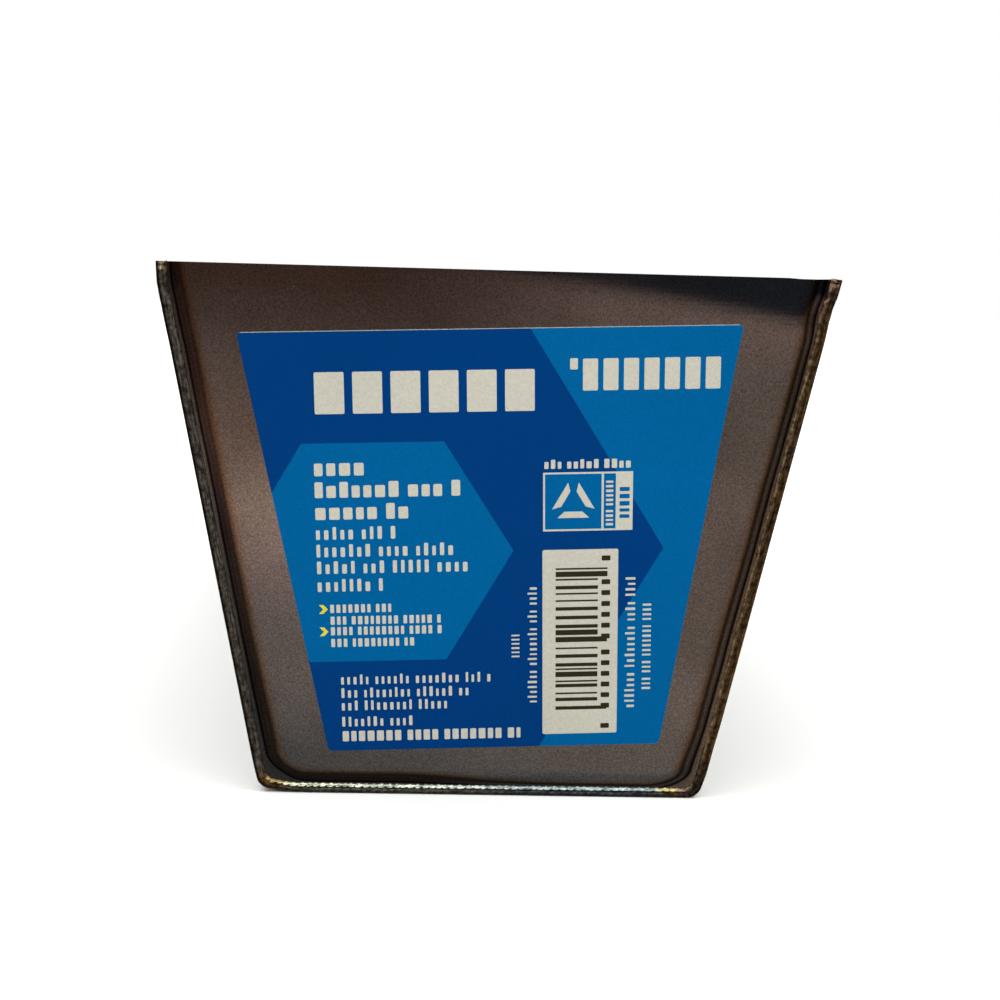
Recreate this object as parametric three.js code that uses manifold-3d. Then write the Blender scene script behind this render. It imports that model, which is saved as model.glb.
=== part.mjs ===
// A mud pan: the long stainless steel trough that a plasterer mixes and carries joint compound in.
// It is one bent sheet for the floor and the two long sides, with a flat cap welded into each end
// and a sticker on one cap. Units are millimetres. X runs across the pan, Y along it, away from the
// end that carries the sticker, and Z up. The origin is the middle of the flat underside.
import * as THREE from "three";
import { mergeVertices } from "three/addons/utils/BufferGeometryUtils.js";
import Module from "manifold-3d";

const wasm = await Module();
wasm.setup();

// The trough
const BASE_LENGTH = 304.8; // over the end welds, along the underside: the nominal 12 inches
const BASE_WIDTH = 72.6; // across the underside, between the sharp corners of the outline
const RIM_WIDTH = 105.4; // across the rim, outside
const HEIGHT = 85.7; // underside to rim
const END_LEAN = THREE.MathUtils.degToRad(11.5); // the ends lean outwards by this much
const SHEET = 0.8; // thickness of all the steel
const BEND_RADIUS = 2.4; // outside radius of the two long bends
const BEND_STEPS = 4;

// The end seams
const WELD_CREST = 0.5; // the welds stand this far out from the cap's face and the sheet's raw edge
const FIT_GAP = 0.1; // between pieces that the weld holds together

// The weld beads
const BEAD_WIDTH = 1.6;
const BEAD_INSET = 0.15; // leaves a thin line of bare sheet edge outside the bead
const BEAD_ROUND = 0.18;
const CORNER_RUN_TOP = 6; // the run along the floor turns up both corners to this height
const RUN_GAP = 0.1;

// The sticker, a tapered sheet with small round corners, stuck on a little crooked
const STICKER_TOP = 78.3;
const STICKER_BASE = 53.9;
const STICKER_HEIGHT = 69.8;
const STICKER_CORNER = 1;
const STICKER_THICKNESS = 0.15;
const STICKER_LIFT = 0.05; // the layer of glue
const STICKER_TURN = THREE.MathUtils.degToRad(2.4);
const STICKER_SHIFT = -1; // its top edge's middle, sideways from the middle of the cap
const STICKER_BELOW_RIM = 9.2; // and down the slope of the cap

// Worked out from the dimensions above
const SIDE_LEAN = Math.atan((RIM_WIDTH - BASE_WIDTH) / 2 / HEIGHT);
const SLANT_HEIGHT = HEIGHT / Math.cos(END_LEAN);
const FAR = 400; // longer than the pan

const steel = new THREE.MeshStandardMaterial({ color: 0x8d8680, roughness: 0.22, metalness: 1 });
const weldMetal = new THREE.MeshStandardMaterial({ color: 0x6f665a, roughness: 0.3, metalness: 1 });
const paper = new THREE.MeshStandardMaterial({ color: 0x00468a, roughness: 0.45, metalness: 0 });

// The cross-section, filled in: the outer outline moved in by `inset`, with its lower corners rounded
// to `radius`.
function crossSection(inset, radius) {
  const sideAt = (z) => BASE_WIDTH / 2 + z * Math.tan(SIDE_LEAN) - inset / Math.cos(SIDE_LEAN);
  const turn = Math.PI / 2 - SIDE_LEAN;
  const centreX = sideAt(inset) - radius * Math.tan(turn / 2);
  const centreZ = inset + radius;
  const shape = new THREE.Shape();
  shape.moveTo(-sideAt(HEIGHT), HEIGHT);
  shape.lineTo(-centreX - radius * Math.cos(SIDE_LEAN), centreZ - radius * Math.sin(SIDE_LEAN));
  shape.absarc(-centreX, centreZ, radius, Math.PI + SIDE_LEAN, Math.PI * 1.5, false);
  shape.absarc(centreX, centreZ, radius, -Math.PI / 2, -SIDE_LEAN, false);
  shape.lineTo(sideAt(HEIGHT), HEIGHT);
  return shape;
}

// The band between two insets, open at the top, as the outline of the bent sheet or of a weld.
function openBand(outerInset, outerRadius, innerInset, innerRadius) {
  const outer = crossSection(outerInset, outerRadius).getPoints(BEND_STEPS);
  const inner = crossSection(innerInset, innerRadius).getPoints(BEND_STEPS);
  return new THREE.Shape([...outer, ...inner.reverse()]);
}

function solidFrom(geometry) {
  geometry.deleteAttribute("normal");
  geometry.deleteAttribute("uv");
  const merged = mergeVertices(geometry);
  const vertProperties = merged.getAttribute("position").array;
  const triVerts = new Uint32Array(merged.index.array);
  return new wasm.Manifold(new wasm.Mesh({ numProp: 3, vertProperties, triVerts }));
}

function geometryFrom(solid) {
  const { vertProperties, triVerts } = solid.getMesh();
  const geometry = new THREE.BufferGeometry();
  geometry.setAttribute("position", new THREE.BufferAttribute(vertProperties, 3));
  geometry.setIndex(new THREE.BufferAttribute(triVerts, 1));
  geometry.computeVertexNormals();
  return geometry;
}

function namedMesh(name, geometry, material) {
  const mesh = new THREE.Mesh(geometry, material);
  mesh.name = name;
  return mesh;
}

// The bent sheet: the band is drawn out along Y, and then its two ends are moved to the leaning planes.
function bodySheet() {
  const band = openBand(0, BEND_RADIUS, SHEET, BEND_RADIUS - SHEET);
  const geometry = new THREE.ExtrudeGeometry(band, { depth: 2, bevelEnabled: false });
  geometry.translate(0, 0, -1).rotateX(Math.PI / 2);
  const place = geometry.getAttribute("position");
  const underside = BASE_LENGTH / 2 - WELD_CREST / Math.cos(END_LEAN);
  for (let i = 0; i < place.count; i++) {
    const reach = underside + place.getZ(i) * Math.tan(END_LEAN);
    place.setY(i, Math.sign(place.getY(i)) * reach);
  }
  geometry.computeVertexNormals();
  return namedMesh("body_sheet", geometry, steel);
}

// An end piece is drawn in the plane of its cap: X across, Y up the slope from the underside, Z out
// of the pan, with zero at the crest of the weld. The cross-section is stretched to lie in that plane,
// and what is drawn out of it is sheared, so that its walls run along the pan, as the sheet's do.
function drawnFromCap(shape, options) {
  const geometry = new THREE.ExtrudeGeometry(shape, { curveSegments: BEND_STEPS, ...options });
  const lean = new THREE.Matrix4().makeShear(0, 0, 0, 0, 0, Math.tan(END_LEAN));
  return geometry.scale(1, 1 / Math.cos(END_LEAN), 1).applyMatrix4(lean);
}

// The cap: a flat plate that fits between the walls of the bent sheet, flush with its raw edge.
function capGeometry() {
  const outline = crossSection(SHEET + FIT_GAP, BEND_RADIUS - SHEET);
  const plate = drawnFromCap(outline, { depth: SHEET, bevelEnabled: false });
  const back = WELD_CREST + SHEET;
  return plate.translate(0, -back * Math.tan(END_LEAN), -back);
}

// The weld round a cap, cut into the three runs that it is laid in.
function beadRuns() {
  const outerInset = BEAD_INSET + BEAD_ROUND;
  const innerInset = BEAD_INSET + BEAD_WIDTH - BEAD_ROUND;
  const band = openBand(outerInset, BEND_RADIUS - outerInset, innerInset, BEND_RADIUS - outerInset);
  const height = WELD_CREST - FIT_GAP;
  const drawn = drawnFromCap(band, {
    depth: height - 2 * BEAD_ROUND,
    bevelThickness: BEAD_ROUND,
    bevelSize: BEAD_ROUND,
    bevelSegments: BEND_STEPS,
  });
  const whole = solidFrom(drawn).translate([0, 0, BEAD_ROUND - height]);
  const part = (x, bottom, top) => {
    const box = new THREE.BoxGeometry(FAR, top - bottom, FAR);
    return geometryFrom(whole.intersect(solidFrom(box.translate(x, (bottom + top) / 2, 0))));
  };
  const above = CORNER_RUN_TOP + RUN_GAP;
  return {
    left: part(-FAR / 2, above, SLANT_HEIGHT),
    floor: part(0, -1, CORNER_RUN_TOP),
    right: part(FAR / 2, above, SLANT_HEIGHT),
  };
}

function stickerMesh() {
  const half = { top: STICKER_TOP / 2, base: STICKER_BASE / 2 };
  const corners = [
    new THREE.Vector2(-half.top, 0),
    new THREE.Vector2(-half.base, -STICKER_HEIGHT),
    new THREE.Vector2(half.base, -STICKER_HEIGHT),
    new THREE.Vector2(half.top, 0),
  ];
  const shape = new THREE.Shape();
  corners.forEach((corner, i) => {
    const towards = (other) => other.clone().sub(corner).setLength(STICKER_CORNER).add(corner);
    const start = towards(corners[(i + 3) % 4]);
    const end = towards(corners[(i + 1) % 4]);
    if (i === 0) shape.moveTo(start.x, start.y);
    else shape.lineTo(start.x, start.y);
    shape.quadraticCurveTo(corner.x, corner.y, end.x, end.y);
  });
  const geometry = new THREE.ExtrudeGeometry(shape, {
    depth: STICKER_THICKNESS,
    bevelEnabled: false,
    curveSegments: BEND_STEPS,
  });
  const mesh = namedMesh("label_sticker", geometry, paper);
  mesh.position.set(STICKER_SHIFT, SLANT_HEIGHT - STICKER_BELOW_RIM, STICKER_LIFT - WELD_CREST);
  mesh.rotation.z = STICKER_TURN;
  return mesh;
}

// One end of the pan, in the plane of its cap, leaned back and moved out to its place.
function endAssembly(name) {
  const leaning = new THREE.Group();
  leaning.position.y = -BASE_LENGTH / 2;
  leaning.rotation.x = Math.PI / 2 + END_LEAN;
  leaning.add(namedMesh("end_cap_" + name, capGeometry(), steel));
  for (const [run, geometry] of Object.entries(beadRuns()))
    leaning.add(namedMesh("weld_" + name + "_" + run, geometry, weldMetal));
  const end = new THREE.Group();
  end.add(leaning);
  return { end, leaning };
}

const pan = new THREE.Group();
pan.add(bodySheet());

const front = endAssembly("front");
front.leaning.add(stickerMesh());
pan.add(front.end);

const rear = endAssembly("rear");
rear.end.rotation.z = Math.PI;
pan.add(rear.end);

export default pan;
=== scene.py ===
"""A stainless steel mud pan, seen from the end that carries its sticker.

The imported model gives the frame. Each of its nodes is replaced by a finer mesh on the same dimensions:
the bent sheet, the two caps, the rippled welds and the printed sticker.
"""
import math
import random

import bmesh
import bpy
from mathutils import Matrix, Vector, geometry, noise


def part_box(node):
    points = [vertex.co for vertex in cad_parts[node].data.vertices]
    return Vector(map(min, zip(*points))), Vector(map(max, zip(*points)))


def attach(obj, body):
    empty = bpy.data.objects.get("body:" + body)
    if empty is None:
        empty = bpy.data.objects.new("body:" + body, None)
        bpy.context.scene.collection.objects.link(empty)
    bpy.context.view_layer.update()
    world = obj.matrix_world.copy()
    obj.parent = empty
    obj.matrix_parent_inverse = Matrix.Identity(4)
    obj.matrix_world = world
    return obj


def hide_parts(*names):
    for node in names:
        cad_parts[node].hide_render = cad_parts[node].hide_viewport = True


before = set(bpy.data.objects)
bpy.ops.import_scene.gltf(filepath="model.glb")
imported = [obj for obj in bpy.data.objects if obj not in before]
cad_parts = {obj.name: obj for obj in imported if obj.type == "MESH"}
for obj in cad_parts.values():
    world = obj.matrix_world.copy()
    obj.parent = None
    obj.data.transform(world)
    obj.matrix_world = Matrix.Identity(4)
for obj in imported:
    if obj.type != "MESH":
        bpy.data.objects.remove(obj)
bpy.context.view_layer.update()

MM = 0.001

# ---------------------------------------------------------------------------------------------
# Dimensions
# ---------------------------------------------------------------------------------------------
_, body_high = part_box("body_sheet")
HEIGHT = body_high.z
RIM_HALF = body_high.x  # half the width at the rim, outside
EDGE_REACH = body_high.y  # how far the sheet's raw edge reaches along the pan, at the rim
BASE_HALF = 36.3 * MM  # half the width of the underside, between sharp corners
END_LEAN = math.radians(11.5)
SIDE_LEAN = math.atan((RIM_HALF - BASE_HALF) / HEIGHT)
SHEET = 0.8 * MM
BEND_RADIUS = 2.4 * MM
WELD_CREST = 0.5 * MM  # the welds stand this far out from the cap's face


def section_points(inset, radius, side_steps, bend_steps, floor_steps):
    """The cross-section as (x, z) points, from the left rim down, along the floor, and up to the right
    rim. It is the outer outline moved in by inset, with its lower corners rounded to radius."""
    slide = inset / math.cos(SIDE_LEAN)
    slope = math.tan(SIDE_LEAN)
    turn = math.pi / 2 - SIDE_LEAN
    centre_x = BASE_HALF + inset * slope - slide - radius * math.tan(turn / 2)
    centre_z = inset + radius
    foot = Vector((centre_x + radius * math.cos(SIDE_LEAN), centre_z - radius * math.sin(SIDE_LEAN)))
    rim = Vector((BASE_HALF + HEIGHT * slope - slide, HEIGHT))
    right = [Vector((centre_x * i / (floor_steps / 2), inset)) for i in range(floor_steps // 2 + 1)]
    for i in range(1, bend_steps):
        angle = -math.pi / 2 + turn * i / bend_steps
        right.append(Vector((centre_x + radius * math.cos(angle), centre_z + radius * math.sin(angle))))
    right += [foot.lerp(rim, i / side_steps) for i in range(side_steps + 1)]
    left = [Vector((-p.x, p.y)) for p in right]
    return left[:0:-1] + right


def crest_reach(z):
    """How far the crest of an end weld reaches along the pan at height z."""
    return EDGE_REACH + WELD_CREST / math.cos(END_LEAN) - (HEIGHT - z) * math.tan(END_LEAN)


def end_point(x, z, depth, end):
    """A point of an end of the pan, depth behind the crest of the weld. end is 1 in front, -1 at the rear."""
    y = -crest_reach(z) + depth / math.cos(END_LEAN)
    return Vector((x * end, y * end, z))


def smooth(low, high, value):
    """A smooth step from 0 at low to 1 at high. low may be the greater one."""
    t = min(1.0, max(0.0, (value - low) / (high - low)))
    return t * t * (3 - 2 * t)


def stepped(value, base, steps):
    """base, and for each (start, finish, rise) in steps a smooth step of that rise, at value."""
    return base + sum(rise * smooth(start, finish, value) for start, finish, rise in steps)


# ---------------------------------------------------------------------------------------------
# Mesh helpers
# ---------------------------------------------------------------------------------------------
def piece_from(name, points, faces, materials, face_materials=None, attributes=None, shade=True):
    """A mesh object in the scene. attributes holds a list of numbers, one for each point, under each name."""
    mesh = bpy.data.meshes.new(name)
    mesh.from_pydata([tuple(p) for p in points], [], faces)
    for material in materials:
        mesh.materials.append(material)
    if face_materials:
        mesh.polygons.foreach_set("material_index", face_materials)
    for key, values in (attributes or {}).items():
        mesh.attributes.new(key, "FLOAT", "POINT").data.foreach_set("value", values)
    mesh.polygons.foreach_set("use_smooth", [shade] * len(mesh.polygons))
    work = bmesh.new()
    work.from_mesh(mesh)
    bmesh.ops.recalc_face_normals(work, faces=work.faces)
    work.to_mesh(mesh)
    work.free()
    mesh.update()
    piece = bpy.data.objects.new(name, mesh)
    bpy.context.scene.collection.objects.link(piece)
    return piece


def split_sharp(piece, degrees):
    """Keeps edges that turn by more than this crisp under smooth shading."""
    mesh = piece.data
    work = bmesh.new()
    work.from_mesh(mesh)
    limit = math.radians(degrees)
    for edge in work.edges:
        edge.smooth = not (len(edge.link_faces) == 2 and edge.calc_face_angle(0) > limit)
    work.to_mesh(mesh)
    work.free()


def grid_faces(rows, columns, wrap=False, start=0):
    """Quads of a grid of rows x columns points; wrap joins the last column to the first."""
    faces = []
    for r in range(rows - 1):
        for c in range(columns if wrap else columns - 1):
            d = (c + 1) % columns
            a, b = start + r * columns, start + (r + 1) * columns
            faces.append((a + c, a + d, b + d, b + c))
    return faces


# ---------------------------------------------------------------------------------------------
# Materials
# ---------------------------------------------------------------------------------------------
def grey(level):
    """A neutral colour."""
    return (level, level, level)


class Nodes:
    """A node tree, with short calls for the nodes used here."""

    def __init__(self, tree):
        self.tree = tree

    def add(self, kind, **values):
        node = self.tree.nodes.new("ShaderNode" + kind)
        for key, value in values.items():
            setattr(node, key, value)
        return node

    def link(self, source, target):
        self.tree.links.new(source, target)

    def value(self, socket, value):
        """Feeds a socket with another node's output, or sets it to a number or colour."""
        if hasattr(value, "is_linked"):
            self.link(value, socket)
        else:
            socket.default_value = value

    def math(self, operation, a, b=0.0):
        node = self.add("Math", operation=operation)
        for socket, value in zip(node.inputs, (a, b)):
            self.value(socket, value)
        return node.outputs[0]

    def place(self, scale=(1, 1, 1)):
        """The object's own coordinates in metres, times scale."""
        node = self.add("Mapping")
        self.link(self.add("TexCoord").outputs["Object"], node.inputs["Vector"])
        node.inputs["Scale"].default_value = scale
        return node.outputs[0]

    def noise_at(self, vector, scale, detail=2.0, output="Fac"):
        node = self.add("TexNoise")
        self.link(vector, node.inputs["Vector"])
        node.inputs["Scale"].default_value = scale
        node.inputs["Detail"].default_value = detail
        return node.outputs[output]

    def noise(self, scale, stretch=(1, 1, 1), detail=2.0, output="Fac"):
        return self.noise_at(self.place(stretch), scale, detail, output)

    def attribute(self, name):
        return self.add("Attribute", attribute_name=name).outputs["Fac"]

    def ramp(self, value, stops):
        node = self.add("ValToRGB")
        elements = node.color_ramp.elements
        while len(elements) < len(stops):
            elements.new(1.0)
        for element, (position, colour) in zip(elements, stops):
            element.position = position
            element.color = (*colour, 1.0)
        self.link(value, node.inputs["Fac"])
        return node.outputs["Color"]

    def mix(self, blend, factor, a, b):
        node = self.add("Mix", data_type="RGBA", blend_type=blend)
        self.value(node.inputs["Factor"], factor)
        for socket, value in ((node.inputs["A"], a), (node.inputs["B"], b)):
            self.value(socket, value if hasattr(value, "is_linked") else (*value, 1.0))
        return node.outputs["Result"]

    def range(self, value, low, high, to_low=0.0, to_high=1.0):
        node = self.add("MapRange")
        for socket, number in zip(node.inputs[1:5], (low, high, to_low, to_high)):
            socket.default_value = number
        self.link(value, node.inputs["Value"])
        return node.outputs["Result"]

    def bump(self, height, distance, strength):
        node = self.add("Bump")
        node.inputs["Strength"].default_value = strength
        node.inputs["Distance"].default_value = distance
        self.link(height, node.inputs["Height"])
        return node.outputs["Normal"]


class Surface(Nodes):
    """The node tree of a new material."""

    def __init__(self, name):
        self.material = bpy.data.materials.new(name)
        self.material.use_nodes = True
        super().__init__(self.material.node_tree)
        self.shader = self.tree.nodes["Principled BSDF"]

    def set(self, **sockets):
        for name, value in sockets.items():
            self.value(self.shader.inputs[name.replace("_", " ")], value)


STEEL = (0.57, 0.555, 0.54)
STEEL_ROUGHNESS = (0.016, 0.026)
GRAIN_ROUGHNESS = 0.012  # what the grain adds to it at most
TINT_SPAN = 6.0  # millimetres from the outer edge of the seam that the heat marks reach over
TINT_WANDER = 0.09  # and how far their lines wander
# Heat marks beside the left and right runs of the weld: distance from the seam's outer edge in
# millimetres, colour of the steel.
TINT_LEFT = [
    (0.0, (0.23, 0.235, 0.225)),
    (1.9, (0.225, 0.23, 0.22)),
    (2.08, (0.16, 0.15, 0.14)),
    (2.20, (0.020, 0.010, 0.009)),
    (2.36, (0.022, 0.012, 0.012)),
    (2.63, (0.105, 0.084, 0.084)),
    (2.97, (0.085, 0.064, 0.057)),
    (3.30, (0.130, 0.100, 0.088)),
    (3.64, (0.110, 0.068, 0.048)),
    (3.90, (0.195, 0.130, 0.088)),
    (4.1, (0.34, 0.25, 0.165)),
    (4.6, (0.55, 0.45, 0.365)),
    (5.4, STEEL),
]
TINT_RIGHT = [
    (0.0, (0.50, 0.44, 0.37)),
    (1.9, (0.46, 0.39, 0.31)),
    (2.05, (0.24, 0.19, 0.15)),
    (2.18, (0.022, 0.012, 0.010)),
    (2.34, (0.022, 0.012, 0.010)),
    (2.60, (0.14, 0.13, 0.12)),
    (2.87, (0.256, 0.250, 0.215)),
    (3.12, (0.17, 0.15, 0.125)),
    (3.37, (0.072, 0.042, 0.021)),
    (3.62, (0.15, 0.105, 0.068)),
    (3.87, (0.34, 0.26, 0.18)),
    (4.35, (0.53, 0.45, 0.38)),
    (5.2, STEEL),
]
SCUFFS = ((-31.5, 82.4), (-33.0, 80.5), (-29.0, 77.0), (36.2, 78.4))  # on the front cap, x and z in mm
SCUFF_REACH = 1.6  # millimetres
SCUFF_CELLS = 650.0  # the scratches are the borders of cells of this many to the metre
SCUFF_ROUGHNESS = 0.45


def scuff_mask(nodes):
    """Short hairline scratches, gathered round a few places."""
    cells = nodes.add("TexVoronoi", feature="DISTANCE_TO_EDGE")
    warp = nodes.mix("LINEAR_LIGHT", 0.004, nodes.place(), nodes.noise(700.0, output="Color"))
    nodes.link(warp, cells.inputs["Vector"])
    cells.inputs["Scale"].default_value = SCUFF_CELLS
    lines = nodes.range(cells.outputs["Distance"], 0.0, 0.05, 1.0, 0.0)
    near = 0.0
    for x, z in SCUFFS:
        away = nodes.add("VectorMath", operation="DISTANCE")
        nodes.link(nodes.place(), away.inputs[0])
        away.inputs[1].default_value = (x * MM, end_point(x * MM, z * MM, WELD_CREST, 1).y, z * MM)
        close = nodes.range(away.outputs["Value"], 0.0, SCUFF_REACH * MM, 1.0, 0.0)
        near = nodes.math("MAXIMUM", near, close)
    broken = nodes.range(nodes.noise(1300.0, detail=3.0), 0.42, 0.58)
    return nodes.math("MULTIPLY", nodes.math("MULTIPLY", lines, broken), near)


def steel_material(name, stretch, scuffed=False):
    """Bright rolled stainless sheet. stretch draws its grain out along the direction of rolling."""
    nodes = Surface(name)
    cloud = nodes.noise(38.0, detail=4.0)
    grain = nodes.noise(900.0, stretch)
    speck = nodes.noise(3600.0)
    wander = nodes.range(nodes.noise(70.0), 0.3, 0.7, -TINT_WANDER, TINT_WANDER)
    seam = nodes.math("ADD", nodes.attribute("seam"), wander)
    seam = nodes.math("DIVIDE", seam, TINT_SPAN)
    left, right = (
        nodes.ramp(seam, [(distance / TINT_SPAN, colour) for distance, colour in stops])
        for stops in (TINT_LEFT, TINT_RIGHT)
    )
    colour = nodes.mix("MIX", nodes.attribute("side"), left, right)
    for uneven in (
        nodes.ramp(cloud, [(0.3, (0.90, 0.885, 0.875)), (0.7, grey(1.0))]),
        nodes.ramp(speck, [(0.34, grey(0.72)), (0.66, grey(1.30))]),
    ):
        colour = nodes.mix("MULTIPLY", 1.0, colour, uneven)
    rough = nodes.range(cloud, 0.3, 0.7, *STEEL_ROUGHNESS)
    rough = nodes.math("ADD", rough, nodes.range(grain, 0.3, 0.7, 0.0, GRAIN_ROUGHNESS))
    if scuffed:
        rough = nodes.math("ADD", rough, nodes.math("MULTIPLY", scuff_mask(nodes), SCUFF_ROUGHNESS))
    nodes.set(
        Base_Color=colour,
        Metallic=1.0,
        Roughness=rough,
        Normal=nodes.bump(grain, 0.0012 * MM, 0.5),
    )
    return nodes.material


# Heat colours of the bead, from the top of its left run (0) by way of the floor to the top of its right run.
# Along the floor run they are lightened and tinted gold, green-white, blue, yellow and pink as a painted
# highlight, and darkened just past its right end as painted shade that cuts the highlight off.
BEAD_HEAT_AND_HIGHLIGHT_STOPS = [
    (0.0, (0.42, 0.29, 0.13)),
    (0.018, (0.44, 0.40, 0.35)),
    (0.335, (0.43, 0.395, 0.35)),
    (0.352, (0.62, 0.40, 0.18)),
    (0.366, (0.82, 0.60, 0.30)),
    (0.376, (0.85, 0.92, 0.72)),
    (0.48, (0.80, 0.90, 0.84)),
    (0.53, (0.52, 0.62, 0.68)),
    (0.614, (0.54, 0.66, 0.74)),
    (0.628, (0.80, 0.72, 0.26)),
    (0.636, (0.62, 0.34, 0.40)),
    (0.641, (0.20, 0.15, 0.11)),
    (0.658, (0.24, 0.18, 0.13)),
    (0.672, (0.58, 0.45, 0.31)),
    (0.70, (0.62, 0.48, 0.33)),
    (0.975, (0.62, 0.48, 0.34)),
    (0.985, (0.40, 0.30, 0.27)),
    (1.0, (0.50, 0.38, 0.36)),
]
# Its oxide, from the outer edge (0) to the inner one (1), on the left and the floor, and on the right. On the
# left and the floor the near-black outer edge is painted shade.
OXIDE_AND_EDGE_SHADE_LEFT = [(0.0, grey(0.07)), (0.20, grey(0.09)), (0.40, grey(1.0)), (0.55, grey(0.70)), (1.0, grey(0.46))]
OXIDE_RIGHT = [
    (0.0, (0.48, 0.37, 0.23)),
    (0.25, (0.50, 0.38, 0.25)),
    (0.5, (0.34, 0.27, 0.18)),
    (0.7, (0.50, 0.42, 0.31)),
    (0.87, (0.92, 0.87, 0.78)),
    (1.0, (1.0, 0.95, 0.85)),
]
STREAKS_ALONG, STREAKS_ACROSS = 90.0, 7.0  # how many streaks of oxide there are along the bead and across it
# Where along the bead its smoother run on the floor begins and ends, and where the right side's oxide begins.
FLOOR_BEGINS, FLOOR_ENDS, RIGHT_BEGINS = (0.345, 0.365), (0.65, 0.63), (0.64, 0.67)
BEAD_ROUGHNESS = (0.36, 0.5)
FLOOR_SMOOTHER = 0.235  # how much less rough the bead is along the floor


def weld_material():
    """Fused metal with its heat colours, streaked and blotched with oxide. Its colour holds a painted
    highlight along the floor run, and painted shade along the outer edge of the left and floor runs.
    """
    nodes = Surface("weld_bead")
    cloud = nodes.noise(1300.0, detail=3.0)
    slow = nodes.range(nodes.noise(260.0), 0.3, 0.7, -0.006, 0.006)
    run = nodes.math("ADD", nodes.attribute("run"), slow)
    across = nodes.attribute("across")
    along = nodes.add("CombineXYZ")
    nodes.link(nodes.math("MULTIPLY", nodes.attribute("run"), STREAKS_ALONG), along.inputs["X"])
    nodes.link(nodes.math("MULTIPLY", across, STREAKS_ACROSS), along.inputs["Y"])
    right_side = nodes.range(run, *RIGHT_BEGINS)
    # heat colours, with a painted highlight along the floor run and painted shade just past its right end
    colour = nodes.ramp(run, BEAD_HEAT_AND_HIGHLIGHT_STOPS)
    for uneven in (
        # oxide across the bead; on the left and the floor its near-black outer edge is painted shade
        nodes.mix("MIX", right_side, nodes.ramp(across, OXIDE_AND_EDGE_SHADE_LEFT), nodes.ramp(across, OXIDE_RIGHT)),
        nodes.ramp(nodes.noise_at(along.outputs[0], 1.0), [(0.38, grey(0.42)), (0.6, (1.18, 1.14, 1.10))]),
        nodes.ramp(cloud, [(0.36, (0.42, 0.41, 0.40)), (0.6, (1.12, 1.10, 1.08))]),
    ):
        colour = nodes.mix("MULTIPLY", 1.0, colour, uneven)
    on_floor = nodes.math("MULTIPLY", nodes.range(run, *FLOOR_BEGINS), nodes.range(run, *FLOOR_ENDS))
    rough = nodes.range(cloud, 0.3, 0.7, *BEAD_ROUGHNESS)
    nodes.set(
        Base_Color=colour,
        Metallic=1.0,
        Roughness=nodes.math("SUBTRACT", rough, nodes.math("MULTIPLY", on_floor, FLOOR_SMOOTHER)),
        Normal=nodes.bump(cloud, 0.006 * MM, 0.6),
    )
    return nodes.material


INK_SPECULAR = 0.01  # the photograph's sticker shows no sheen


def ink_material(name, colour, roughness=0.38):
    """Print on coated paper: a little uneven in colour, with the paper's faint tooth."""
    nodes = Surface(name)
    mottle = nodes.noise(2600.0)
    slow = nodes.noise(45.0)
    deep = tuple(0.86 * c for c in colour)
    body = nodes.mix("MIX", nodes.range(mottle, 0.3, 0.7), deep, colour)
    nodes.set(
        Base_Color=nodes.mix("MULTIPLY", 0.5, body, nodes.ramp(slow, [(0.3, grey(0.9)), (0.7, grey(1.0))])),
        Roughness=nodes.range(slow, 0.3, 0.7, roughness - 0.04, roughness + 0.05),
        Specular_IOR_Level=INK_SPECULAR,
        Normal=nodes.bump(mottle, 0.004 * MM, 0.5),
    )
    return nodes.material


sheet_steel = steel_material("sheet_steel", (1.0, 0.03, 1.0))
cap_steel = steel_material("cap_steel", (0.05, 1.0, 1.0), scuffed=True)
weld_metal = weld_material()
INKS = {
    "paper": ink_material("label_paper", (0.435, 0.41, 0.355), 0.5),
    "edge": ink_material("label_edge", (0.20, 0.21, 0.22), 0.6),
    "deep": ink_material("ink_deep_blue", (0.0, 0.031, 0.142)),
    "light": ink_material("ink_light_blue", (0.0, 0.083, 0.236)),
    "yellow": ink_material("ink_yellow", (0.56, 0.48, 0.03)),
    "dark": ink_material("ink_dark", (0.022, 0.018, 0.010)),
}


# ---------------------------------------------------------------------------------------------
# The bent sheet
# ---------------------------------------------------------------------------------------------
SHEET_STEPS = (36, 10, 24)  # up a side, round a bend, and across the floor
STATIONS = 90
BURR = 0.12 * MM  # the sheared edge is rounded by this much
TIP_SHIFT = 0.6 * BURR  # and its very edge is this much narrower on both faces
SHEET_SEAM = 2.4  # where the raw edge of the sheet lies on the scale of the heat marks
BOW, BOW_WAVE = 0.35 * MM, 0.28 * MM  # at the rim, half-way along

# How the heat of welding has moved the metal at the front end of the pan, in millimetres. The steps are
# (start, finish, change), down from the rim or up from the floor.
CORNER_REACH = 5.0  # along the pan
CORNER_WIDTH = (5.0, 1.5)  # in from the side, where it begins and where it is whole
LEFT_PUSH = (0.0, [(14, 8, 0.08)])  # down from the rim
LEFT_TIP, LEFT_TIP_TALL = 0.52, 3.2  # the left top corner has drawn in by this much, over this height
RIGHT_PUSH = (0.12, [(10, 6, -0.17), (3.7, 2.9, 0.27)])  # down from the rim: the right one has swollen
RIGHT_PUSH_LOW = (0.0, [(14, 8, -0.12), (5, 0.5, -0.32)])  # up from the floor
RIGHT_SAG = 0.12  # of the rim beside the right top corner
RIGHT_SAG_FROM, RIGHT_SAG_TALL = (14, 40), (8, 2)  # out from the middle, and down from the rim
LEFT_LIFT = 0.55  # of the floor beside the left lower corner
LEFT_LIFT_FROM, LEFT_LIFT_TALL = (6, 2.2), (6, 1)  # in from the corner, and up from the floor


def sheet_bow(x, z, along):
    """How far a long side stands out of its plane: both rims bow in a little, with slow waves."""
    height = z / HEIGHT
    free = 1 - along * along
    wave = noise.noise(Vector((along * 3.1, height * 1.4, 4.0 if x > 0 else 9.0)))
    return free * (BOW_WAVE * wave * height - BOW * free * height * height)


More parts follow.
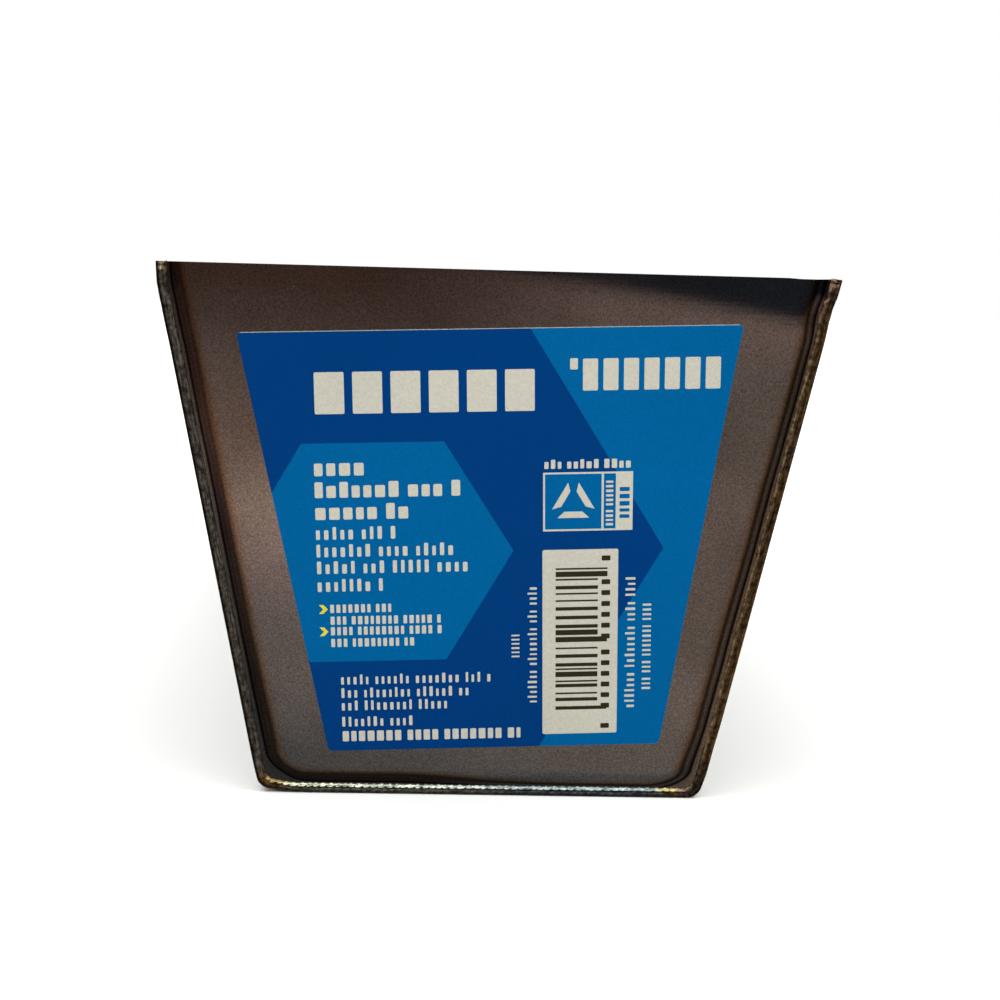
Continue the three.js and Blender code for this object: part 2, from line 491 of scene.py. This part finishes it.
def end_warp(x, z, from_end, end):
    """How the heat of welding has moved the metal at an end of the pan, as (dx, dz). x is as seen in the
    frame, and end turns it round for the rear, which is warped in the same way."""
    side = (abs(x) - (RIM_HALF - (HEIGHT - z) * math.tan(SIDE_LEAN))) / MM
    near = smooth(CORNER_REACH, 0.0, from_end / MM)
    edge = near * smooth(-CORNER_WIDTH[0], -CORNER_WIDTH[1], side)
    top, low, out = (HEIGHT - z) / MM, z / MM, abs(x) / MM
    lift = 0.0
    if x * end < 0:
        push = stepped(top, *LEFT_PUSH) - LEFT_TIP * max(0.0, 1 - top / LEFT_TIP_TALL)
        if low < LEFT_LIFT_TALL[0]:
            corner = BASE_HALF / MM - out
            lift = near * LEFT_LIFT * smooth(*LEFT_LIFT_FROM, corner) * smooth(*LEFT_LIFT_TALL, low)
    else:
        push = stepped(top, *RIGHT_PUSH) + stepped(low, *RIGHT_PUSH_LOW)
        lift = -near * RIGHT_SAG * smooth(*RIGHT_SAG_FROM, out) * smooth(*RIGHT_SAG_TALL, top)
    return math.copysign(MM, x) * push * edge, MM * lift


def body_mesh():
    """The bent sheet as one closed loop of points, drawn out along the pan."""
    outer = section_points(0, BEND_RADIUS, *SHEET_STEPS)
    inner = section_points(SHEET, BEND_RADIUS - SHEET, *SHEET_STEPS)
    loop = []
    for path, side in ((outer, 1), (inner[::-1], -1)):
        tips = [Vector((path[end].x * (1 - side * TIP_SHIFT / RIM_HALF), HEIGHT)) for end in (0, -1)]
        for end in (0, -1):
            path[end].y -= BURR
        loop += [tips[0], *path, tips[1]]
    points, seams = [], []
    for station in range(STATIONS + 1):
        along = -math.cos(math.pi * station / STATIONS)  # closer together towards the ends
        for p in loop:
            reach = EDGE_REACH - (HEIGHT - p.y) * math.tan(END_LEAN)
            from_end = reach * (1 - abs(along))
            bow = math.copysign(sheet_bow(p.x, p.y, along), p.x) if p.y > BEND_RADIUS else 0.0
            dx, dz = end_warp(p.x, p.y, from_end, -math.copysign(1, along))
            points.append(Vector((p.x + bow + dx, along * reach, p.y + dz)))
            seams.append(from_end / MM + SHEET_SEAM)
    count = len(loop)
    faces = grid_faces(STATIONS + 1, count, wrap=True)
    for base in (0, STATIONS * count):
        for i in range(count // 2 - 1):
            faces.append((base + i, base + i + 1, base + count - 2 - i, base + count - 1 - i))
    body = piece_from("bent_sheet", points, faces, [sheet_steel], attributes={"seam": seams})
    split_sharp(body, 35)
    return body


# ---------------------------------------------------------------------------------------------
# The caps
# ---------------------------------------------------------------------------------------------
CAP_SIDE_STEPS, CAP_BEND_STEPS, CAP_FLOOR_STEPS = 56, 14, 44
CAP_RINGS = [0.82, 1.2, 1.5, 1.7, 1.9, 2.1, 2.3, 2.5, 2.7, 2.9, 3.1, 3.4, 3.7, 4.0, 4.4, 4.8, 5.3, 6.0]
RING_RADIUS = 5.2 * MM  # lower corner radius of the inner rings
DRAWN_BACK = 0.14 * MM  # of the plate beside the weld
CAP_WAVE = 0.015 * MM  # how far the middle of the plate is from flat

# How much wider or narrower the heat marks lie beside each run of the weld. The steps are (start, finish,
# change), in millimetres up from the floor, or from left to right for the run along the floor.
HEAT_CORNER = 8.0  # millimetres of rounding where the heat marks of two runs meet
HEAT_LEFT = (1.0, [(30, 15, -0.07)])
HEAT_RIGHT = (1.12, [(78, 16, -0.155), (13, 4, -0.16)])
HEAT_RIGHT_TOP = (1.0, [(76, 80, -0.13)])
HEAT_FLOOR = (1.12, [(-12, 12, 0.55)])
SIDE_CHANGE = (-12, 12)  # where the colours of the left side give way to those of the right side


def cap_depth(inset, x, z):
    """Depth of the cap's face behind the crest of the weld. The plate is drawn back a little beside the
    weld, and its middle is not quite flat."""
    drawn_back = DRAWN_BACK * (1 - smooth(1.4, 4.2, inset / MM))
    wave = noise.noise(Vector((x * 18, 3.0, z * 18)))
    return WELD_CREST + drawn_back + CAP_WAVE * wave * smooth(2.0, 9.0, inset / MM)


def rounded_least(a, b, radius):
    """The smaller of two distances, with the corner between them rounded."""
    if a >= radius or b >= radius:
        return min(a, b)
    return radius - math.hypot(radius - a, radius - b)


def heat_distance(x, z):
    """How far a point of a cap is from the weld in millimetres, as the heat marks show it: they lie closer
    in beside some runs than beside others. x is to the right as one looks at the cap."""
    reach = BASE_HALF + z * math.tan(SIDE_LEAN)
    left, right = ((reach + way * x) * math.cos(SIDE_LEAN) / MM for way in (1, -1))
    x, z = x / MM, z / MM
    left *= stepped(z, *HEAT_LEFT)
    right *= stepped(z, *HEAT_RIGHT) * stepped(z, *HEAT_RIGHT_TOP)
    return rounded_least(min(left, right), z * stepped(x, *HEAT_FLOOR), HEAT_CORNER)


def cap_mesh(name, end):
    """A flat plate: rings that follow the weld, and a field of quads inside the last of them. It has a
    face in front and another behind, joined along the border."""
    rings = []
    for inset in CAP_RINGS:
        spread = smooth(CAP_RINGS[0], 2.4, inset)
        radius = (BEND_RADIUS - SHEET) * (1 - spread) + RING_RADIUS * spread
        rings.append(section_points(inset * MM, radius, CAP_SIDE_STEPS, CAP_BEND_STEPS, CAP_FLOOR_STEPS))
    count = len(rings[0])
    shaft = CAP_SIDE_STEPS + CAP_BEND_STEPS  # rows of the middle, from the rim down to the floor
    field = []
    for row in range(shaft + 1):
        a, b = rings[-1][row], rings[-1][count - 1 - row]
        field.append([a.lerp(b, c / CAP_FLOOR_STEPS) for c in range(CAP_FLOOR_STEPS + 1)])
    points, seams, sides, faces, borders = [], [], [], [], []

    def put(p, inset, behind, dx=0.0, dz=0.0):
        depth = cap_depth(inset, p.x, p.y) + behind
        points.append(end_point(p.x + dx * end, p.y + dz, depth, end))
        seams.append(heat_distance(p.x, p.y))
        sides.append(smooth(*SIDE_CHANGE, p.x / MM))

    for behind in (0.0, SHEET):
        start = len(points)
        for inset, ring in zip(CAP_RINGS, rings):
            for p in ring:
                put(p, inset * MM, behind, *end_warp(p.x * end, p.y, 0.0, end))
        faces += grid_faces(len(rings), count, start=start)
        inner = start + (len(rings) - 1) * count
        index = {}
        for row, line in enumerate(field):
            for column, p in enumerate(line):
                if column == 0:
                    index[row, column] = inner + row
                elif column == CAP_FLOOR_STEPS:
                    index[row, column] = inner + count - 1 - row
                elif row == shaft:
                    index[row, column] = inner + shaft + column
                else:
                    index[row, column] = len(points)
                    put(p, max(min(RIM_HALF - abs(p.x), p.y), CAP_RINGS[-1] * MM), behind)
        for row in range(shaft):
            for column in range(CAP_FLOOR_STEPS):
                corners = ((row, column), (row, column + 1), (row + 1, column + 1), (row + 1, column))
                faces.append(tuple(index[corner] for corner in corners))
        border = [start + r * count for r in range(len(rings))]
        border += [index[0, column] for column in range(1, CAP_FLOOR_STEPS)]
        border += [start + r * count + count - 1 for r in reversed(range(len(rings)))]
        border += [start + count - 1 - i for i in range(1, count - 1)]
        borders.append(border)
    front, back = borders
    faces += zip(front, front[1:] + front[:1], back[1:] + back[:1], back)
    cap = piece_from(name, points, faces, [cap_steel], attributes={"seam": seams, "side": sides})
    split_sharp(cap, 35)
    return cap


# ---------------------------------------------------------------------------------------------
# The welds
# ---------------------------------------------------------------------------------------------
BEAD_FROM, BEAD_TO = 0.02, 1.66  # millimetres in from the outer outline
BEAD_ACROSS = 14
BEAD_STEP = 0.13 * MM
BEAD_BEND_STEPS = 30
BEAD_HEIGHT = 0.40 * MM
BEAD_SINK, BEAD_BACK = 0.02 * MM, 0.2 * MM  # how far behind the cap's face its edges and its back lie
RIPPLE_PITCH = 1.2 * MM
RIPPLE_RISE = 0.07 * MM
RIPPLE_LAG = 0.55  # how far the edges of a scale trail its middle, in scales
RIPPLE_JITTER = 0.5  # how unevenly the scales follow each other, in scales
BEAD_SWELL = 0.10  # how much the height of the bead varies, as a share of it
SIDE_RIPPLE = 0.45  # the ripples up the sides are this much of the height of those along the floor
CRATER = (1.6 * MM, 0.1 * MM)  # how far below the rim the bead begins to sink into a crater
CRATER_SINK = 0.7  # how much of its dome the bead loses there
HORN, HOLLOW = 0.22 * MM, 0.4 * MM  # how far the crater's edges stand up, and its middle drops
RUN_SPLIT = 6.0 * MM  # height at which the floor run meets the side runs


def ripple(phase):
    """One scale of the weld: a slow rise and a quick fall."""
    t = phase % 1.0
    return smooth(0.0, 0.75, t) if t < 0.75 else 1 - smooth(0.75, 1.0, t)


def bead_dome(u):
    """Height of the bead across its width, from its outer edge (-1) to its inner one (1)."""
    return (1 - abs(u) ** 2.6) ** 0.5 if u < 0 else 1 - u * u


def weld_mesh(name, end, first, last, rows, travels, seed):
    """The run of the bead between two stations of its path, as one closed body. The runs up the sides end
    in a crater with a horn on each side. rows are lines along the bead, and travels are the distances
    along it."""
    points, runs, acrosses = [], [], []

    def put(p, t, depth, rise=0.0):
        dx, dz = end_warp(p.x * end, p.y, 0.0, end)
        points.append(end_point(p.x + dx * end, p.y + dz + rise, WELD_CREST + depth, end))
        runs.append(travel / travels[-1])
        acrosses.append(t)

    for i in range(first, last + 1):
        travel = travels[i]
        jitter = RIPPLE_JITTER * noise.noise(Vector((travel * 260, seed, 1.0)))
        swell = 1 + BEAD_SWELL * noise.noise(Vector((travel * 90, seed, 7.0)))
        z = rows[BEAD_ACROSS // 2][i].y
        crater = smooth(*CRATER, HEIGHT - z)
        scale_rise = RIPPLE_RISE * (SIDE_RIPPLE if z > 3 * MM else 1.0)
        for j in range(BEAD_ACROSS + 1):
            t = j / BEAD_ACROSS
            u = 2 * t - 1
            dome = bead_dome(u)
            scale = ripple(travel / RIPPLE_PITCH + jitter - RIPPLE_LAG * u * u)
            height = BEAD_HEIGHT * dome * swell * (1 - CRATER_SINK * crater)
            height += scale_rise * scale * math.sqrt(dome)
            put(rows[j][i], t, BEAD_SINK - height, crater * (HORN * abs(u) ** 3 - HOLLOW * dome))
        put(rows[-1][i], 1.0, BEAD_BACK)
        put(rows[0][i], 0.0, BEAD_BACK)
    width = BEAD_ACROSS + 3
    count = last - first + 1
    faces = grid_faces(count, width, wrap=True)
    faces.append(tuple(range(width)))
    faces.append(tuple(range((count - 1) * width, count * width)))
    return piece_from(name, points, faces, [weld_metal], attributes={"run": runs, "across": acrosses})


def welds(end, label):
    """The three runs of the bead round one cap."""
    side = round(HEIGHT / math.cos(SIDE_LEAN) / BEAD_STEP)
    floor = 2 * round(BASE_HALF / BEAD_STEP)
    rows = []
    for j in range(BEAD_ACROSS + 1):
        inset = (BEAD_FROM + (BEAD_TO - BEAD_FROM) * j / BEAD_ACROSS) * MM
        rows.append(section_points(inset, BEND_RADIUS - 0.35 * inset, side, BEAD_BEND_STEPS, floor))
    middle = rows[BEAD_ACROSS // 2]
    travels = [0.0]
    for a, b in zip(middle, middle[1:]):
        travels.append(travels[-1] + (b - a).length)
    last = len(middle) - 1
    split = next(i for i, p in enumerate(middle) if p.y < RUN_SPLIT)
    runs = {"left": (0, split), "floor": (split, last - split), "right": (last - split, last)}
    for number, (run, (a, b)) in enumerate(runs.items()):
        weld = weld_mesh(f"bead_{label}_{run}", end, a, b, rows, travels, number + 3.7 * end)
        split_sharp(weld, 50)
        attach(weld, "root")
        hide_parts(f"weld_{label}_{run}")


# ---------------------------------------------------------------------------------------------
# The sticker. Its print is laid out in millimetres from the middle of its top edge.
# ---------------------------------------------------------------------------------------------
LABEL_TOP_HALF, LABEL_BASE_HALF, LABEL_TALL = 39.15, 26.95, 69.8
LABEL_TRIM = [
    (-LABEL_TOP_HALF, 0),
    (-LABEL_BASE_HALF, -LABEL_TALL),
    (LABEL_BASE_HALF, -LABEL_TALL),
    (LABEL_TOP_HALF, 0),
]
LABEL_CORNER = 0.9
LABEL_TURN = math.radians(2.4)
LABEL_SHIFT, LABEL_BELOW_RIM = -1.0, 9.2
LABEL_OUT = 0.2 * MM  # the printed face stands this far off the cap
LABEL_THICKNESS = 0.15 * MM


def rounded(corners, radius, steps):
    """A closed outline with each corner cut by a short curve."""
    outline = []
    corners = [Vector(c) for c in corners]
    for i, corner in enumerate(corners):
        back = corners[i - 1] - corner
        ahead = corners[(i + 1) % len(corners)] - corner
        start = corner + back.normalized() * radius
        finish = corner + ahead.normalized() * radius
        for k in range(steps + 1):
            t = k / steps
            outline.append(start.lerp(corner, t).lerp(corner.lerp(finish, t), t))
    return outline


class Print:
    """The printed shapes, in order; a later one covers an earlier one."""

    def __init__(self):
        self.shapes = []
        self.random = random.Random(12)

    def add(self, ink, outline):
        """Adds a shape. The outlines all run anticlockwise, which the triangulation needs."""
        outline = [Vector(p) for p in outline]
        area = sum(a.x * b.y - b.x * a.y for a, b in zip(outline, outline[1:] + outline[:1]))
        self.shapes.append((ink, outline if area > 0 else outline[::-1]))

    def box(self, ink, left, right, top, bottom, radius=0.0):
        corners = [(left, top), (left, bottom), (right, bottom), (right, top)]
        self.add(ink, rounded(corners, radius, 3) if radius else corners)

    def greek(self, ink, left, right, top, bottom, weight=0.62, caps=False):
        """A stand-in for a line of print: a row of plain blocks, grouped as words are. weight is how much
        of the line they fill."""
        tall = top - bottom
        pitch = (0.30 + 0.66 * weight) * tall
        at = left
        word = self.random.randint(3, 7)
        while at < right - 0.25 * tall:
            wide = pitch * weight * self.random.uniform(0.8, 1.15)
            wide = min(wide, right - at)
            rise = tall if caps or self.random.random() < 0.35 else tall * 0.76
            self.box(ink, at, at + wide, bottom + rise, bottom, min(0.1 * tall, 0.3 * wide))
            at += wide + pitch * (1 - weight)
            word -= 1
            if not word:
                word = self.random.randint(3, 8)
                at += 0.35 * tall

    def greek_down(self, ink, left, right, top, bottom, **style):
        """The same for print that runs up the sticker."""
        count = len(self.shapes)
        self.greek(ink, 0.0, top - bottom, right - left, 0.0, **style)
        turned = []
        for name, outline in self.shapes[count:]:
            turned.append((name, [Vector((right - p.y, bottom + p.x)) for p in outline]))
        self.shapes[count:] = turned

    def blocks(self, ink, left, right, top, bottom, count, gap):
        """A row of equal blocks, for a line of large print."""
        wide = (right - left + gap) / count - gap
        for k in range(count):
            at = left + k * (wide + gap)
            self.box(ink, at, at + wide, top, bottom, 0.25)


def sticker_print():
    """The layout. The stand-ins for print lie where the photograph has lines of it."""
    page = Print()
    far = 60.0  # outside the sticker, which cuts off what lies beyond its edge
    page.add("light", [(4.85, 2), (27.2, -36.1), (6.0, -72), (far, -72), (far, 2)])
    hexagon = [(-29.8, -17.9), (-40.9, -36.1), (-29.4, -54.3), (-7.6, -54.3), (3.3, -36.1), (-7.5, -17.9)]
    page.add("light", hexagon)
    page.box("paper", -far, far, 1, -0.06)  # the trimmed edge

    page.blocks("paper", -27.5, 6.7, -6.5, -13.2, 6, 1.3)
    page.blocks("paper", 14.2, 35.7, -5.0, -10.1, 7, 0.85)
    page.box("paper", 12.2, 13.4, -4.9, -6.7, 0.2)

    for top, bottom, right in ((-20.5, -23.2, -19.5), (-24.2, -26.8, -4.0), (-27.8, -30.4, -13.3)):
        page.greek("paper", -27.9, right, top, bottom, weight=0.72)
    for top, right in ((-31.6, -15.2), (-34.5, -6.1), (-37.3, -3.6), (-40.3, -16.8)):
        page.greek("paper", -27.9, right, top, top - 2.1, weight=0.5)
    for top, rows in ((-44.6, (-16.3, -8.3)), (-48.4, (-7.6, -12.7))):
        chevron = [(-27.8, top), (-27.1, top), (-26.4, top - 0.75), (-27.1, top - 1.5), (-27.8, top - 1.5)]
        page.add("yellow", chevron + [(-27.1, top - 0.75)])
        for line, right in enumerate(rows):
            high = top - 2.0 * line
            page.greek("paper", -26.0, right, high, high - 1.4, weight=0.62, caps=True)

    for top, right in ((-56.6, -0.2), (-58.9, -4.1), (-61.1, -7.2), (-63.9, -12.6)):
        page.greek("paper", -24.6, right, top, top - 1.7, weight=0.46)
    page.greek("paper", -24.6, 4.3, -66.4, -68.2, weight=0.72, caps=True)

    page.greek_down("paper", 2.9, 4.2, -49.8, -54.2, weight=0.42, caps=True)
    page.greek_down("paper", 5.5, 7.0, -41.9, -62.1, weight=0.42)
    page.greek_down("paper", 21.2, 22.8, -40.3, -63.3, weight=0.42)
    page.greek_down("paper", 24.0, 25.4, -44.3, -60.2, weight=0.42, caps=True)

    page.greek("paper", 8.2, 22.2, -21.2, -22.7, weight=0.66)
    page.box("paper", 8.0, 22.2, -23.3, -33.0)
    page.box("light", 8.3, 17.25, -23.6, -32.7)
    page.box("light", 17.6, 19.5, -23.6, -32.7)
    page.greek_down("paper", 17.95, 19.1, -24.2, -32.2, weight=0.5, caps=True)
    page.greek_down("light", 20.1, 21.7, -25.5, -31.0, weight=0.6, caps=True)
    centre = Vector((12.8, -28.4))
    for k in range(3):  # three bars round a triangle
        a, b = math.radians(90 + 120 * k + 14), math.radians(90 + 120 * (k + 1) - 14)
        ring = [(3.5, a), (3.5, b), (2.0, b), (2.0, a)]
        page.add("paper", [centre + r * Vector((math.cos(t), math.sin(t))) for r, t in ring])

    page.box("paper", 7.9, 20.0, -36.1, -67.7, 0.3)
    at = -39.2
    while at > -64.0:
        bar = 0.30 * page.random.randint(1, 3)
        reach = 18.3 if at > -40.4 or at < -62.8 or abs(at + 51.6) < 0.7 else 16.8
        page.box("dark", 10.0, reach, at, at - bar)
        at -= bar + 0.30 * page.random.randint(1, 3)
    for k in range(6):
        for at in (-41.2 - 1.85 * k, -53.2 - 1.85 * k):
            page.box("dark", 17.35, 18.75, at, at - 0.85, 0.15)
    for at in (-37.2, -66.0):
        page.box("dark", 17.35, 18.75, at, at - 0.85, 0.15)
    return page


def sticker_mesh():
    """One closed sheet. Its face is cut into triangles along every printed outline, and each triangle
    takes the ink of the last shape that covers it."""
    page = sticker_print()
    outlines = [rounded(LABEL_TRIM, LABEL_CORNER, 6)] + [outline for _, outline in page.shapes]
    inks = ["deep"] + [ink for ink, _ in page.shapes]
    corners, loops = [], []
    for outline in outlines:
        loops.append(list(range(len(corners), len(corners) + len(outline))))
        corners += outline
    flat, _, triangles, _, _, owners = geometry.delaunay_2d_cdt(corners, [], loops, 1, 1e-5)
    names = list(INKS)
    faces, colours = [], []
    for triangle, owner in zip(triangles, owners):
        if 0 in owner:
            faces.append(tuple(triangle))
            colours.append(names.index(inks[max(owner)]))
    used = sorted({i for face in faces for i in face})
    order = {old: new for new, old in enumerate(used)}
    faces = [tuple(order[i] for i in face) for face in faces]

    slope_top = HEIGHT / math.cos(END_LEAN) - LABEL_BELOW_RIM * MM
    turn = Matrix.Rotation(LABEL_TURN, 2)
    plane = Matrix((
        (1, 0, 0),
        (0, -math.sin(END_LEAN), -math.cos(END_LEAN)),
        (0, math.cos(END_LEAN), -math.sin(END_LEAN)),
    ))
    foot = Vector((0, -crest_reach(0), 0))

    def placed(i, out):
        across = turn @ Vector(flat[i]) * MM
        return foot + plane @ Vector((across.x + LABEL_SHIFT * MM, across.y + slope_top, out - WELD_CREST))

    points = [placed(i, LABEL_OUT) for i in used]
    once = {}  # the edges that only one triangle has
    for a, b, c in faces:
        for edge in ((a, b), (b, c), (c, a)):
            key = tuple(sorted(edge))
            once[key] = None if key in once else edge
    border = dict(edge for edge in once.values() if edge)
    loop = [next(iter(border))]
    while border[loop[-1]] != loop[0]:
        loop.append(border[loop[-1]])
    base = len(points)
    points += [placed(used[i], LABEL_OUT - LABEL_THICKNESS) for i in loop]
    cut = names.index("edge")
    for k in range(len(loop)):
        m = (k + 1) % len(loop)
        faces.append((loop[m], loop[k], base + k, base + m))
        colours.append(cut)
    faces.append(tuple(range(len(points) - 1, base - 1, -1)))
    colours.append(cut)
    return piece_from("printed_sticker", points, faces, list(INKS.values()), colours, shade=False)


# ---------------------------------------------------------------------------------------------
# The pieces
# ---------------------------------------------------------------------------------------------
for maker, node, slot in (
    (body_mesh, "body_sheet", "stainless_sheet"),
    (lambda: cap_mesh("cap_front", 1), "end_cap_front", "stainless_sheet"),
    (lambda: cap_mesh("cap_rear", -1), "end_cap_rear", "stainless_sheet"),
    (sticker_mesh, "label_sticker", "label_paper"),
):
    piece = maker()
    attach(piece, "root")
    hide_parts(node)
welds(1, "front")
welds(-1, "rear")


# ---------------------------------------------------------------------------------------------
# The studio
# ---------------------------------------------------------------------------------------------
FLOOR_HALF = 8  # metres


def floor_piece():
    """Plain pale paper that the pan stands on. The steel mirrors the room in its place."""
    corners = [(x * FLOOR_HALF, y * FLOOR_HALF, 0) for x, y in ((-1, -1), (1, -1), (1, 1), (-1, 1))]
    nodes = Surface("floor_paper")
    nodes.set(Base_Color=(0.86, 0.855, 0.85, 1.0), Roughness=0.9)
    floor = piece_from("studio_floor", corners, [(0, 1, 2, 3)], [nodes.material])
    floor.visible_glossy = False


# What lies below the horizon in front of the pan, as the steel mirrors it: the sine of the angle above the
# horizon, with colours. The left and right halves of the room differ a little.
ROOM_LEFT = [
    (-1.0, (0.02, 0.02, 0.02)),
    (-0.75, (0.06, 0.06, 0.06)),
    (-0.62, (0.098, 0.102, 0.108)),
    (-0.576, (0.102, 0.103, 0.106)),
    (-0.547, (0.178, 0.156, 0.148)),
    (-0.525, (0.182, 0.160, 0.158)),
    (-0.502, (0.315, 0.240, 0.225)),
    (-0.487, (0.355, 0.275, 0.235)),
    (-0.456, (0.205, 0.147, 0.124)),
    (-0.432, (0.140, 0.110, 0.098)),
    (-0.416, (0.092, 0.068, 0.062)),
    (-0.392, (0.055, 0.033, 0.027)),
    (-0.380, (0.048, 0.029, 0.024)),
    (-0.373, (0.015, 0.0175, 0.023)),
    (-0.1, (0.02, 0.02, 0.022)),
    (0.05, (0.05, 0.05, 0.05)),
]
ROOM_RIGHT = [
    (-1.0, (0.02, 0.02, 0.02)),
    (-0.75, (0.06, 0.06, 0.06)),
    (-0.62, (0.120, 0.124, 0.132)),
    (-0.562, (0.165, 0.148, 0.136)),
    (-0.531, (0.205, 0.168, 0.157)),
    (-0.515, (0.172, 0.146, 0.130)),
    (-0.466, (0.181, 0.144, 0.132)),
    (-0.433, (0.137, 0.117, 0.104)),
    (-0.406, (0.145, 0.122, 0.112)),
    (-0.391, (0.180, 0.136, 0.128)),
    (-0.3845, (0.190, 0.143, 0.134)),
    (-0.3810, (0.135, 0.106, 0.100)),
    (-0.3770, (0.014, 0.017, 0.023)),
    (-0.1, (0.02, 0.02, 0.022)),
    (0.05, (0.05, 0.05, 0.05)),
]
ROOM_WARMTH = (1.053, 0.982, 0.926)
ROOM_TILT = 0.079  # how much higher it all lies towards the right
ROOM_SPLIT = (-0.005, 0.14)  # where the left half gives way to the right one
# The same to the sides and behind, where the room is paler and greyer.
ROOM_BESIDE = [
    (-1.0, (0.36, 0.35, 0.34)),
    (-0.6, (0.31, 0.295, 0.28)),
    (-0.35, (0.235, 0.220, 0.21)),
    (-0.12, (0.10, 0.097, 0.094)),
    (0.05, (0.05, 0.05, 0.05)),
]
BESIDE_FROM, BEHIND_FROM = (0.38, 0.62), (-0.55, -0.1)  # where it begins, and where it is whole
ROOM_PATCHES = 22.0  # how fine its patches are
CEILING = [(0.0, grey(0.0)), (0.12, grey(0.03)), (0.35, grey(0.35)), (0.64, grey(1.05)), (1.0, grey(1.25))]
FRONT_BOX = (2.3, 2.4, 2.3)  # the brighter light above the camera
BOX_AHEAD, BOX_ABOVE = (-0.1, -0.35), (0.2, 0.34)  # where it begins, and where it is whole


def studio_world():
    """What the steel reflects: a dim brown floor and room below, soft light overhead. The camera itself
    sees plain pale paper."""
    world = bpy.data.worlds.new("studio")
    bpy.context.scene.world = world
    world.use_nodes = True
    world.node_tree.nodes.clear()
    nodes = Nodes(world.node_tree)

    direction = nodes.add("TexCoord").outputs["Generated"]
    parts = nodes.add("SeparateXYZ")
    nodes.link(direction, parts.inputs[0])
    x, y, z = parts.outputs
    tilted = nodes.math("ADD", z, nodes.math("MULTIPLY", x, ROOM_TILT))

    def by_height(stops, height):
        low, high = stops[0][0], stops[-1][0]
        place = nodes.range(height, low, high)
        return nodes.ramp(place, [((at - low) / (high - low), colour) for at, colour in stops])

    left, right = by_height(ROOM_LEFT, tilted), by_height(ROOM_RIGHT, tilted)
    room = nodes.mix("MIX", nodes.range(x, *ROOM_SPLIT), left, right)
    room = nodes.mix("MULTIPLY", 1.0, room, ROOM_WARMTH)
    off_centre = nodes.range(nodes.math("ABSOLUTE", x), *BESIDE_FROM)
    beside = nodes.math("MAXIMUM", nodes.range(y, *BEHIND_FROM), off_centre)
    room = nodes.mix("MIX", beside, room, by_height(ROOM_BESIDE, z))
    patches = nodes.noise_at(direction, ROOM_PATCHES, detail=5.0)
    room = nodes.mix("MULTIPLY", 1.0, room, nodes.ramp(patches, [(0.3, grey(0.84)), (0.7, grey(1.16))]))
    in_front = nodes.math("MULTIPLY", nodes.range(y, *BOX_AHEAD), nodes.range(z, *BOX_ABOVE))
    above = nodes.mix("MIX", in_front, nodes.ramp(z, CEILING), FRONT_BOX)

    seen = nodes.add("Background")
    seen.inputs["Color"].default_value = (1, 1, 1, 1)
    lit = nodes.add("Background")
    nodes.link(nodes.mix("ADD", 1.0, room, above), lit.inputs["Color"])
    choose = nodes.add("MixShader")
    nodes.link(nodes.add("LightPath").outputs["Is Camera Ray"], choose.inputs[0])
    nodes.link(lit.outputs[0], choose.inputs[1])
    nodes.link(seen.outputs[0], choose.inputs[2])
    nodes.link(choose.outputs[0], nodes.add("OutputWorld").inputs["Surface"])


def sun_light(name, towards, strength, spread):
    """A very soft, even light that the steel doesn't mirror."""
    light = bpy.data.lights.new(name, "SUN")
    light.energy = strength
    light.angle = math.radians(spread)
    lamp = bpy.data.objects.new(name, light)
    lamp.rotation_euler = Vector(towards).to_track_quat("-Z", "Y").to_euler()
    lamp.visible_glossy = False
    bpy.context.scene.collection.objects.link(lamp)


def camera_piece():
    """The photograph's viewpoint: about level with the rim, a little to the left, 34 cm from the end."""
    lens = bpy.data.cameras.new("camera")
    lens.sensor_width = 36.0
    lens.lens = 79.675
    camera = bpy.data.objects.new("camera", lens)
    right = Vector((0.99836, -0.05064, 0.02656))
    up = Vector((-0.02159, 0.09626, 0.99512))
    place = Vector((-17.12, -509.0, 82.87)) * MM
    turned = Matrix((right, up, right.cross(up))).transposed().to_4x4()
    camera.matrix_world = Matrix.Translation(place) @ turned
    bpy.context.scene.collection.objects.link(camera)
    bpy.context.scene.camera = camera


floor_piece()
studio_world()
sun_light("overhead", (0.1, 0.15, -1.0), 1.15, 90)
camera_piece()
bpy.context.scene.view_settings.view_transform = "Standard"
